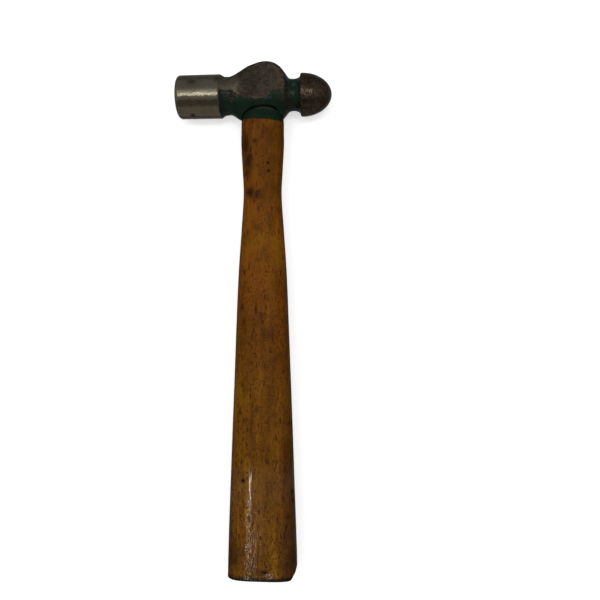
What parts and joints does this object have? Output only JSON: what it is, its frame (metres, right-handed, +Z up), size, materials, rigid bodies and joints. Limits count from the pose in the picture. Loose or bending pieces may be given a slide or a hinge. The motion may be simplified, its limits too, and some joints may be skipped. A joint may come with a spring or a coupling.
{
  "type": "ball peen hammer",
  "caption": "Metalworking hammer with a cylindrical poll, a hemispherical peen and a waisted oval wooden handle wedged into the eye of the head.",
  "frame": {"origin": "middle of the box of the hammer lying on its side, at the level it rests on", "axes": "+X along the head from the poll to the ball, +Y up the handle from the butt to the head, +Z up through the cheeks"},
  "size_m": [0.1012, 0.3328, 0.0282],
  "materials": {
    "head_steel": "forged steel, ground bright on the poll, the cheeks and the peen, with worn dark green paint between them",
    "handle_wood": "amber varnish over straight-grained hardwood, scuffed and stained",
    "wedge_wood": "bare, end grain up",
    "wedge_steel": "rusted mild steel"
  },
  "bodies": {
    "root": {"head": "head_steel", "handle": "handle_wood", "wood_wedge": "wedge_wood", "steel_wedge_poll": "wedge_steel", "steel_wedge_ball": "wedge_steel"}
  },
  "joints": []
}
